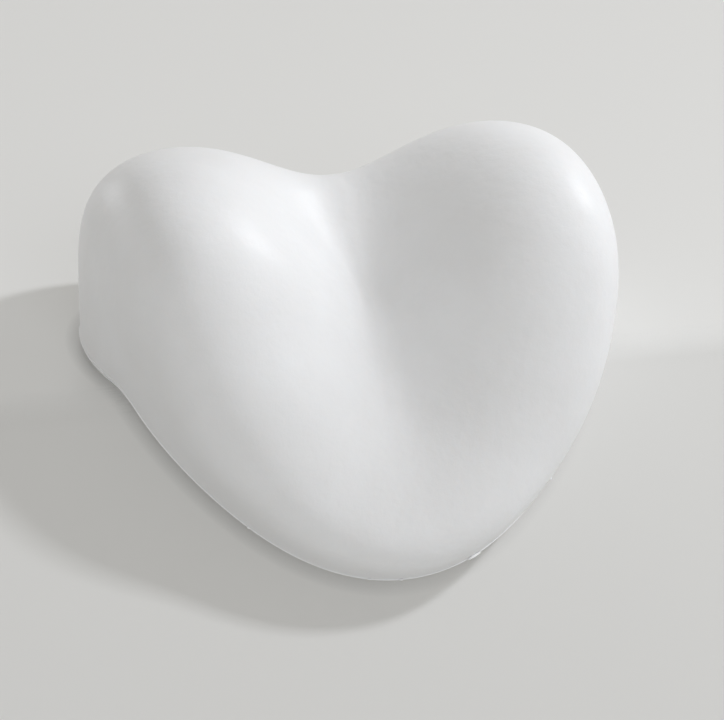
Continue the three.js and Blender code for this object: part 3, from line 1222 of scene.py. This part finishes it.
@dataclass(frozen=True)
class CupFit:
    """Heights and radii that a suction cup, its pocket and its socket share, counted from the cup's lip."""

    lip_radius: float = 0.020
    lip_land: float = 0.0024
    lip_thickness: float = 0.0009
    bell_height: float = 0.008
    hollow_height: float = 0.0036
    shoulder_radius: float = 0.0055
    neck_radius: float = 0.004
    neck_fillet: float = 0.0006
    head_radius: float = 0.0064
    head_height: float = 0.0042
    head_rim_height: float = 0.0012
    pocket_side_gap: float = 0.0025
    pocket_headroom: float = 0.0004
    pocket_skin_wall: float = 0.0016
    seated_gap: float = 0.0003
    socket_floor: float = 0.0024
    socket_wall: float = 0.002
    socket_roof: float = 0.0018
    socket_flange_reach: float = 0.005
    socket_flange_thickness: float = 0.0016
    neck_running_gap: float = 0.0003
    head_end_play: float = 0.0003

    @property
    def pocket_radius(self) -> float:
        """Radius of the pocket that the bell lies in."""
        return self.lip_radius + self.pocket_side_gap

    @property
    def pocket_skin_radius(self) -> float:
        """Outside radius of the skin round the pocket."""
        return self.pocket_radius + self.pocket_skin_wall

    @property
    def pocket_roof(self) -> float:
        """Height of the pocket's roof."""
        return self.bell_height + self.neck_fillet + self.pocket_headroom

    @property
    def pocket_skin_top(self) -> float:
        """Height of the skin over the pocket."""
        return self.pocket_roof + self.pocket_skin_wall

    @property
    def neck_hole_radius(self) -> float:
        """Radius of the hole that the neck turns in."""
        return self.neck_radius + self.neck_running_gap

    @property
    def socket_bottom(self) -> float:
        """Height of the socket's lower face."""
        return self.pocket_skin_top + self.seated_gap

    @property
    def chamber_floor(self) -> float:
        """Height of the floor that the head catches on."""
        return self.socket_bottom + self.socket_floor

    @property
    def head_bottom(self) -> float:
        """Height of the underside of the head."""
        return self.chamber_floor + self.head_end_play

    @property
    def head_top(self) -> float:
        """Height of the top of the head."""
        return self.head_bottom + self.head_height

    @property
    def chamber_roof(self) -> float:
        """Height of the chamber's roof."""
        return self.head_top + self.head_end_play

    @property
    def chamber_radius(self) -> float:
        """Radius of the chamber that the head turns in."""
        return self.head_radius + self.neck_running_gap

    @property
    def socket_radius(self) -> float:
        """Outside radius of the socket's barrel."""
        return self.chamber_radius + self.socket_wall

    @property
    def socket_flange_radius(self) -> float:
        """Outside radius of the flange that keys the socket into the foam."""
        return self.socket_radius + self.socket_flange_reach

    @property
    def socket_flange_top(self) -> float:
        """Height of the flange's upper face."""
        return self.socket_bottom + self.socket_flange_thickness

    @property
    def socket_top(self) -> float:
        """Height of the socket's top."""
        return self.chamber_roof + self.socket_roof


@dataclass(frozen=True)
class PillowBody:
    """The moulded pillow: skin of the face, skin of the back, foam between them and the flash lip."""

    form: HeartForm
    fit: CupFit
    places: tuple[CupPlace, ...]
    skin: Finish = MouldedSkinFinish()
    foam: Finish = FoamFinish()
    thin_skin: Finish = FlashFinish()
    flash: FlashLip = FlashLip()
    tags: FlashTags = FlashTags()
    skin_wall: float = 0.002
    skin_to_core_gap: float = 0.0004
    hairline: float = 0.00002
    seat_stand_off: float = 0.0005
    underside_edge_radius: float = 0.0022
    pocket_mouth_fillet: float = 0.0012
    pocket_roof_fillet: float = 0.0015
    cut_overrun: float = 0.004
    turns: int = 288
    face_sections: int = 120
    inner_sections: int = 24
    core_sections: int = 40
    underside_rings: int = 44
    edge_steps: int = 6
    tool_steps: int = 96
    fillet_steps: int = 6
    sharp_angle: float = math.radians(40)

    def build(self) -> list[bpy.types.Object]:
        """Build, dress and seat the pieces of the pillow.

        Returns:
            The skins, the foam and the flash.
        """
        face = self.build_face()
        back = self.build_back()
        core = self.build_core()
        trim = [self.flash.build(self.form, self.skin), self.tags.build(self.form, self.thin_skin)]
        finishes = (self.skin, self.skin, self.foam, self.skin, self.thin_skin)
        for piece, finish in zip((face, back, core, *trim), finishes):
            smooth(piece, self.sharp_angle)
            finish.dress(piece)
            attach(piece, Body.PILLOW.value)
        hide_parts("face_skin")
        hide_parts("back_skin")
        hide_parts("foam_core")
        return [face, back, core, *trim]

    def build_face(self) -> bpy.types.Object:
        """Build the skin of the face as a closed shell with a real wall.

        Returns:
            The skin.
        """
        outer, crown = self.form.face_rings(self.face_sections, self.turns)
        inner, inner_crown = self.form.inset_rings(self.skin_wall, self.inner_sections, self.turns)
        rings = np.concatenate([outer[::-1], inner])
        return closed_rings("moulded_face", crown, rings, inner_crown)

    def plan_rings(self, outer_scale: float, height: float) -> np.ndarray:
        """Return rings that follow each other inwards over the plan.

        Args:
            outer_scale: Scale of the outline that they lie inside.
            height: Their height above the bath.

        Returns:
            The rings, without that outline and without the centre.
        """
        count = self.underside_rings
        scales = outer_scale * (1 - np.arange(1, count) / count)
        plan = self.form.plan_point(full_turn(self.turns), scales[:, None])
        return self.form.seat_point(plan, height)

    def plan_centre(self, height: float) -> np.ndarray:
        """Return the point over the heart's centre at a height above the bath."""
        return self.form.seat_point(np.array([0, -self.form.centre_behind_bend]), height)

    def tool(self, name: str, corners: Sequence[Corner], place: CupPlace) -> bpy.types.Object:
        """Make a turned tool body on a cup's axis."""
        profile = rounded_profile(corners, self.fillet_steps)
        return turned(f"{name}_{place.name}", profile, self.tool_steps, place.matrix)

    def plug(
        self,
        name: str,
        place: CupPlace,
        radius: float,
        heights: tuple[float, float],
        fillet: float = 0,
    ) -> bpy.types.Object:
        """Make a plain round tool body on a cup's axis.

        Args:
            name: Name of the tool.
            place: Place of the cup.
            radius: Radius of the tool.
            heights: Heights of its lower and upper ends.
            fillet: Fillet round the upper end.

        Returns:
            The tool.
        """
        low, high = heights
        corners = [(0, high, 0), (radius, high, fillet), (radius, low, 0), (0, low, 0)]
        return self.tool(name, corners, place)

    def build_back(self) -> bpy.types.Object:
        """Build the skin of the back, with a pocket for each cup.

        Returns:
            The skin.
        """
        form, angles = self.form, full_turn(self.turns)
        top = form.parting_height - self.hairline
        bottom = self.seat_stand_off
        radius = self.underside_edge_radius
        edge = [form.edge_point(angles, 0, top)]
        for turn in quarter_turn(self.edge_steps):
            reach = -radius * (1 - math.cos(turn))
            edge.append(form.edge_point(angles, reach, bottom + radius * (1 - math.sin(turn))))
        upper = self.plan_rings(1, top)[::-1]
        lower = self.plan_rings(1 - radius / form.heart_radius, bottom)
        rings = np.concatenate([upper, np.stack(edge), lower])
        back = closed_rings("moulded_back", self.plan_centre(top), rings, self.plan_centre(bottom))
        return work_piece(back, self.back_tools())

    def back_tools(self) -> list[tuple[Cut, bpy.types.Object]]:
        """Make the tools of the back.

        Returns:
            The tubs that stand up round the pockets, then the pockets and the neck holes.
        """
        fit = self.fit
        tub_heights = (self.form.parting_height / 2, fit.pocket_skin_top)
        tub_sizes = (fit.pocket_skin_radius, tub_heights, self.pocket_roof_fillet)
        tools = [(Cut.ADD, self.plug("tub", place, *tub_sizes)) for place in self.places]
        pocket = [
            (0, fit.pocket_roof, 0),
            (fit.pocket_radius, fit.pocket_roof, self.pocket_roof_fillet),
            *self.mouth_corners(),
            (fit.pocket_radius + self.pocket_mouth_fillet, -self.cut_overrun, 0),
            (0, -self.cut_overrun, 0),
        ]
        for place in self.places:
            hole = self.plug("neck_hole", place, fit.neck_hole_radius, (0, fit.socket_top))
            tools += [(Cut.TAKE_AWAY, self.tool("pocket", pocket, place)), (Cut.TAKE_AWAY, hole)]
        return tools

    def mouth_corners(self) -> list[Corner]:
        """Return the profile of a pocket's mouth.

        Returns:
            Corners that round out from the pocket's wall to the underside.
        """
        radius = self.pocket_mouth_fillet
        corners = []
        for turn in quarter_turn(self.fillet_steps):
            out = self.fit.pocket_radius + radius * (1 - math.cos(turn))
            corners.append((out, self.seat_stand_off + radius * (1 - math.sin(turn)), 0))
        return corners

    def build_core(self) -> bpy.types.Object:
        """Build the foam inside the skins, with room for the tubs and the sockets.

        Returns:
            The foam.
        """
        inset = self.skin_wall + self.skin_to_core_gap
        rings, crown = self.form.inset_rings(inset, self.core_sections, self.turns)
        height = self.form.parting_height + self.fit.seated_gap
        rings[0] = self.form.edge_point(full_turn(self.turns), -inset, height)
        lower = self.plan_rings(1 - inset / self.form.heart_radius, height)
        rings = np.concatenate([rings[::-1], lower])
        core = closed_rings("foam_filling", crown, rings, self.plan_centre(height))
        room = self.room_corners()
        return work_piece(core, [(Cut.TAKE_AWAY, self.tool("room", room, place)) for place in self.places])

    def room_corners(self) -> list[Corner]:
        """Return the profile of the room in the foam for a tub and its socket.

        Returns:
            Corners that step outwards from the socket's top to the tub.
        """
        fit = self.fit
        radii = (fit.socket_radius, fit.socket_flange_radius, fit.pocket_skin_radius)
        tops = (fit.socket_top, fit.socket_flange_top, fit.pocket_skin_top)
        heights = [top + fit.seated_gap for top in tops] + [0]
        corners = [(0, heights[0], 0)]
        for radius, high, low in zip(radii, heights, heights[1:]):
            wide = radius + fit.seated_gap
            corners += [(wide, high, 0), (wide, low, 0)]
        return [*corners, (0, 0, 0)]


@dataclass(frozen=True)
class SuctionFitting:
    """One suction cup and the plastic socket that its head turns in."""

    fit: CupFit
    place: CupPlace
    vinyl: Finish = ClearVinylFinish()
    plastic: Finish = MouldedPlasticFinish()
    lip_edge_radius: float = 0.0004
    head_edge_radius: float = 0.0005
    socket_edge_radius: float = 0.0004
    turn_steps: int = 128
    curve_steps: int = 24
    fillet_steps: int = 5
    sharp_angle: float = math.radians(40)

    def build(self) -> list[bpy.types.Object]:
        """Build, dress and seat the cup and its socket.

        Returns:
            The cup and the socket.
        """
        cup, socket = self.build_cup(), self.build_socket()
        smooth(cup, self.sharp_angle)
        smooth(socket, self.sharp_angle)
        self.vinyl.dress(cup)
        self.plastic.dress(socket)
        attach(cup, self.place.body.value)
        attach(socket, Body.PILLOW.value)
        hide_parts(f"{self.place.name}_suction_cup")
        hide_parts(f"{self.place.name}_socket")
        return [cup, socket]

    def build_cup(self) -> bpy.types.Object:
        """Build the bell, the neck and the mushroom head in one.

        Returns:
            The cup.
        """
        fit = self.fit
        land_inside = fit.lip_radius - fit.lip_land
        hollow = bezier(
            Vector((0, fit.hollow_height)),
            Vector((land_inside / 2, fit.hollow_height)),
            Vector((land_inside, 0)),
            self.curve_steps,
        )
        lip = rounded_profile(
            [
                (land_inside, 0, 0),
                (fit.lip_radius, 0, self.lip_edge_radius),
                (fit.lip_radius, fit.lip_thickness, 0),
            ],
            self.fillet_steps,
        )
        bell = bezier(
            Vector((fit.lip_radius, fit.lip_thickness)),
            Vector(((fit.lip_radius + fit.shoulder_radius) / 2, fit.bell_height - fit.lip_thickness)),
            Vector((fit.shoulder_radius, fit.bell_height)),
            self.curve_steps,
        )
        neck = rounded_profile(
            [
                (fit.shoulder_radius, fit.bell_height, 0),
                (fit.neck_radius, fit.bell_height, fit.neck_fillet),
                (fit.neck_radius, fit.head_bottom, 0),
                (fit.head_radius, fit.head_bottom, self.head_edge_radius),
                (fit.head_radius, fit.head_bottom + fit.head_rim_height, 0),
            ],
            self.fillet_steps,
        )
        rim = fit.head_bottom + fit.head_rim_height
        dome_height = fit.head_height - fit.head_rim_height
        head = [
            (fit.head_radius * math.cos(turn), rim + dome_height * math.sin(turn))
            for turn in quarter_turn(self.curve_steps)[1:-1]
        ]
        profile = [*hollow, *lip[1:], *bell[1:], *neck[1:], *head, (0, fit.head_top)]
        return turned(f"{self.place.name}_vinyl_cup", profile, self.turn_steps, self.place.matrix)

    def build_socket(self) -> bpy.types.Object:
        """Build the socket: a barrel with a closed roof, a floor with the neck's hole, and a flange.

        Returns:
            The socket.
        """
        fit = self.fit
        soft = self.socket_edge_radius
        corners = [
            (0, fit.chamber_roof, 0),
            (fit.chamber_radius, fit.chamber_roof, soft),
            (fit.chamber_radius, fit.chamber_floor, soft),
            (fit.neck_hole_radius, fit.chamber_floor, soft),
            (fit.neck_hole_radius, fit.socket_bottom, soft),
            (fit.socket_flange_radius, fit.socket_bottom, soft),
            (fit.socket_flange_radius, fit.socket_flange_top, soft),
            (fit.socket_radius, fit.socket_flange_top, soft),
            (fit.socket_radius, fit.socket_top, soft),
            (0, fit.socket_top, 0),
        ]
        profile = rounded_profile(corners, self.fillet_steps)
        return turned(f"{self.place.name}_moulded_socket", profile, self.turn_steps, self.place.matrix)


# Studio


@dataclass(frozen=True)
class BathEdgeStage:
    """Plain pale sweep that carries the pillow: a flat rim that turns down to a lower floor, with painted
    shade next to the pillow.
    """

    form: HeartForm
    tone: Colour = (0.705, 0.701, 0.681)
    # Colour, reach and samples of the painted shade that darkens the sweep next to the pillow.
    painted_contact_shade_tone: Colour = (0.43, 0.43, 0.42)
    painted_contact_shade_reach: float = 0.008
    painted_contact_shade_samples: int = 5
    light_side: tuple[float, float, float] = (0.62, -0.17, 0.77)
    roughness: float = 0.45
    half_width: float = 6.0
    rim_depth: float = 6.0
    floor_depth: float = 6.0
    floor_drop: float = 0.7
    foot_radius: float = 0.4
    arc_steps: int = 48

    def profile(self) -> list[Vector]:
        """Return the section of the sweep.

        Returns:
            Points with their distance away from the bath and their height.
        """
        lean = self.form.bend_angle
        radius = self.form.parting_bend_radius - self.form.parting_height
        points = [Vector((self.rim_depth, 0))]
        for i in range(self.arc_steps + 1):
            turn = lean * i / self.arc_steps
            points.append(Vector((-radius * math.sin(turn), -radius * (1 - math.cos(turn)))))
        slope = Vector((-math.cos(lean), -math.sin(lean)))
        foot_drop = self.foot_radius * (1 - math.cos(lean))
        straight = (self.floor_drop + points[-1].y - foot_drop) / math.sin(lean)
        start = points[-1] + slope * straight
        for i in range(self.arc_steps + 1):
            turn = lean * (1 - i / self.arc_steps)
            away = self.foot_radius * (math.sin(lean) - math.sin(turn))
            drop = self.foot_radius * (math.cos(turn) - math.cos(lean))
            points.append(start + Vector((-away, -drop)))
        points.append(Vector((-self.floor_depth, points[-1].y)))
        return points

    def build(self) -> bpy.types.Object:
        """Build and dress the stage.

        Returns:
            The sweep.
        """
        section = self.profile()
        sides = (-self.half_width, self.half_width)
        points = [(side, point.x, point.y) for point in section for side in sides]
        faces = [(2 * i, 2 * i + 1, 2 * i + 3, 2 * i + 2) for i in range(len(section) - 1)]
        mesh = bpy.data.meshes.new("pale_sweep")
        mesh.from_pydata(points, [], faces)
        mesh.shade_smooth()
        if mesh.polygons[0].normal.z < 0:
            mesh.flip_normals()
        sweep = linked("pale_sweep", mesh)
        mesh.materials.append(self.material())
        return sweep

    def material(self) -> bpy.types.Material:
        """Make the pale finish of the sweep, which is seen from above only.

        Returns:
            The material, with painted shade that darkens its colour close to the pillow, on the side away
            from the light.
        """
        material = bpy.data.materials.new("pale_sweep")
        material.use_nodes = True
        bench = NodeBench(material.node_tree)
        # Painted shade: the sweep's colour turns darker where the pillow is close, on the side away from the
        # light.
        towards_light = bench.add("ShaderNodeCombineXYZ", **dict(zip("XYZ", self.light_side)))
        painted_shade_openness = bench.add(
            "ShaderNodeAmbientOcclusion",
            {"samples": self.painted_contact_shade_samples},
            Distance=self.painted_contact_shade_reach,
            Normal=towards_light.outputs["Vector"],
        )
        tone = bench.tint(painted_shade_openness.outputs["AO"], self.painted_contact_shade_tone, self.tone)
        surface = bench.add("ShaderNodeBsdfPrincipled", Base_Color=tone, Roughness=self.roughness)
        clear = bench.add("ShaderNodeBsdfTransparent")
        from_below = bench.add("ShaderNodeNewGeometry").outputs["Backfacing"]
        mixed = bench.blend(from_below, surface, clear)
        bench.add("ShaderNodeOutputMaterial", Surface=mixed.outputs["Shader"])
        return material


@dataclass(frozen=True)
class SoftLamp:
    """Square soft lamp, placed by its direction from the pillow and aimed at it."""

    name: str
    lit: Lit
    azimuth_degrees: float
    elevation_degrees: float
    size: float
    power: float
    distance: float = 2.2
    aim: tuple[float, float, float] = (0.0, 0.0, 0.04)
    colour: Colour = (0.931, 0.952, 1.0)
    mirrored: bool = False

    def build(self, groups: dict[Lit, bpy.types.Collection]) -> bpy.types.Object:
        """Build the lamp and aim it; its azimuth counts from +X towards +Y.

        Args:
            groups: The objects of each kind that a lamp can light. A lamp that stands lower than the
                pillow shines past everything else.

        Returns:
            The lamp.
        """
        light = bpy.data.lights.new(self.name, "AREA")
        light.shape = "SQUARE"
        light.size = self.size
        light.energy = self.power
        light.color = self.colour
        azimuth, elevation = math.radians(self.azimuth_degrees), math.radians(self.elevation_degrees)
        level = math.cos(elevation)
        direction = Vector((level * math.cos(azimuth), level * math.sin(azimuth), math.sin(elevation)))
        place = Vector(self.aim) + self.distance * direction
        lamp = linked(self.name, light)
        lamp.visible_glossy = self.mirrored
        lamp.visible_camera = False
        turning = (-direction).to_track_quat("-Z", "Y")
        lamp.matrix_world = Matrix.Translation(place) @ turning.to_matrix().to_4x4()
        lamp.light_linking.receiver_collection = groups[self.lit]
        if elevation < 0:
            lamp.light_linking.blocker_collection = groups[self.lit]
        return lamp


@dataclass(frozen=True)
class Studio:
    """Soft lamps, an even surround of light and a pale background."""

    lamps: tuple[SoftLamp, ...] = (
        SoftLamp("window_lamp", Lit.PILLOW, 29.5, 33.8, 0.72, 11.5, mirrored=True),
        SoftLamp("room_lamp", Lit.PILLOW, -14.3, 33.8, 0.6, 19.7),
        SoftLamp("front_lamp", Lit.PILLOW, -92, 14, 1.0, 8.7),
        SoftLamp("left_lamp", Lit.PILLOW, 115, 11, 0.6, 3.4, mirrored=True),
        SoftLamp("bounce_lamp", Lit.PILLOW, 195, -27, 0.8, 1.4),
        SoftLamp("underside_lamp", Lit.UNDERSIDE, 75, -62, 1.2, 26.0, colour=(1.0, 0.985, 0.96)),
        SoftLamp("stage_lamp", Lit.STAGE, -13.6, 47.2, 0.2, 20.3),
        SoftLamp("stage_front_lamp", Lit.STAGE, -92, 30, 0.8, 7.35),
        SoftLamp("stage_rear_lamp", Lit.STAGE, 90, 49, 0.8, 5.7),
    )
    surround_tone: Colour = (1.0, 0.986, 0.957)
    surround_strength: float = 0.477
    reflected_strength: float = 0.92
    background_tone: Colour = (0.66, 0.655, 0.645)

    def build(self, pieces: Sequence[bpy.types.Object], sweep: bpy.types.Object) -> None:
        """Build the lamps and the surround.

        Args:
            pieces: Pieces of the pillow. Those that face the bath have a lamp of their own from below.
            sweep: The stage, which has lamps of its own for its shadow.
        """
        faces_bath = ("_back", "_cup", "_socket")
        members = {
            Lit.PILLOW: pieces,
            Lit.UNDERSIDE: [piece for piece in pieces if piece.name.endswith(faces_bath)],
            Lit.STAGE: [sweep],
        }
        groups = {lit: bpy.data.collections.new(lit.value) for lit in members}
        for lit, group in groups.items():
            for member in members[lit]:
                group.objects.link(member)
        for lamp in self.lamps:
            lamp.build(groups)
        self.build_surround()

    def build_surround(self) -> None:
        """Build the light that comes from all sides: a pale background where the camera sees it."""
        world = bpy.data.worlds.new("pale_surround")
        bpy.context.scene.world = world
        world.use_nodes = True
        bench = NodeBench(world.node_tree)
        path = bench.add("ShaderNodeLightPath").outputs
        surround = bench.glow(self.surround_tone, self.surround_strength)
        mirrored = bench.glow(self.surround_tone, self.reflected_strength)
        backdrop = bench.glow(self.background_tone, 1.0)
        seen = bench.calculate("MAXIMUM", path["Is Camera Ray"], path["Is Transmission Ray"])
        mixed = bench.blend(path["Is Glossy Ray"], surround, mirrored)
        mixed = bench.blend(seen, mixed, backdrop)
        bench.add("ShaderNodeOutputWorld", Surface=mixed.outputs[0])


@dataclass(frozen=True)
class PhotoCamera:
    """Camera at the photograph's viewing angle."""

    azimuth: float = math.radians(-16.71)
    elevation: float = math.radians(23.98)
    roll: float = math.radians(1.23)
    distance: float = 2.125
    aim: tuple[float, float, float] = (0.00155, -0.00186, 0.0005)
    focal_length_px: float = 4420.0
    sensor_width_mm: float = 36.0
    clip_ratio: float = 20.0

    def build(self) -> bpy.types.Object:
        """Build the camera and make it the scene's own.

        Returns:
            The camera.
        """
        data = bpy.data.cameras.new("photo_camera")
        data.sensor_fit = "HORIZONTAL"
        data.sensor_width = self.sensor_width_mm
        data.lens = self.sensor_width_mm * self.focal_length_px / PHOTO_WIDTH_PX
        data.clip_start = self.distance / self.clip_ratio
        data.clip_end = self.distance * self.clip_ratio
        camera = linked("photo_camera", data)
        turning = Euler((math.pi / 2 - self.elevation, 0, self.azimuth)).to_matrix().to_4x4()
        turning = turning @ Matrix.Rotation(self.roll, 4, "Z")
        back = turning.to_3x3() @ Vector((0, 0, self.distance))
        camera.matrix_world = Matrix.Translation(Vector(self.aim) + back) @ turning
        bpy.context.scene.camera = camera
        return camera


@dataclass
class BathPillow:
    """The whole bath pillow, built round its frame."""

    frame: dict[str, Any]
    form: HeartForm = field(default_factory=HeartForm)
    fit: CupFit = field(default_factory=CupFit)

    @property
    def places(self) -> tuple[CupPlace, ...]:
        """Places of the four cups."""
        return tuple(CupPlace.from_joint(joint) for joint in self.frame["joints"])

    def build(self) -> list[bpy.types.Object]:
        """Build every piece of the pillow.

        Returns:
            The pieces, each dressed and seated.
        """
        pieces = PillowBody(self.form, self.fit, self.places).build()
        for place in self.places:
            pieces += SuctionFitting(self.fit, place).build()
        return pieces


def main() -> None:
    """Build the camera, the pillow, the stage and the lamps in order."""
    logging.basicConfig(level=logging.INFO, format="%(name)s: %(message)s")
    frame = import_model()
    bpy.context.scene.view_settings.view_transform = "Standard"
    PhotoCamera().build()
    pillow = BathPillow(frame)
    pieces = pillow.build()
    for piece in pieces:
        triangles = sum(len(face.vertices) - 2 for face in piece.data.polygons)
        LOG.info("%s has %d triangles", piece.name, triangles)
    sweep = BathEdgeStage(pillow.form).build()
    Studio().build(pieces, sweep)


if __name__ == "__main__":
    main()
